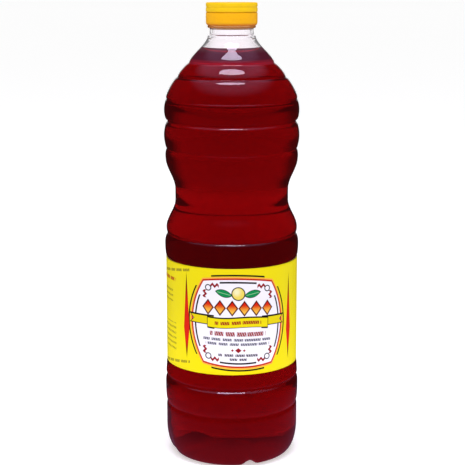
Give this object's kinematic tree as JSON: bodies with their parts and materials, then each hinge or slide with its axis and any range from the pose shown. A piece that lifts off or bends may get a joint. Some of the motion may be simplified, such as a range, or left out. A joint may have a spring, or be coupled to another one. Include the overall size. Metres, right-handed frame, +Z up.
{
  "type": "vinegar bottle",
  "caption": "Clear plastic bottle of dark red vinegar with hooped shoulder, narrow waist, lobed base, yellow screw cap and printed wrap label.",
  "frame": {"origin": "centre of the foot, on the surface that the bottle stands on", "axes": "+Z up along the bottle's axis; the middle of the label's print faces -Y"},
  "size_m": [0.079, 0.079, 0.2655],
  "materials": {
    "clear_plastic": "clear and glossy",
    "vinegar_red": "clear dark red liquid",
    "cap_plastic": "satin",
    "label_paper": "printed film, semi-gloss"
  },
  "bodies": {
    "root": {"bottle": "clear_plastic", "vinegar": "vinegar_red", "cap": "cap_plastic", "tamper_band": "cap_plastic", "label": "label_paper"}
  },
  "joints": []
}
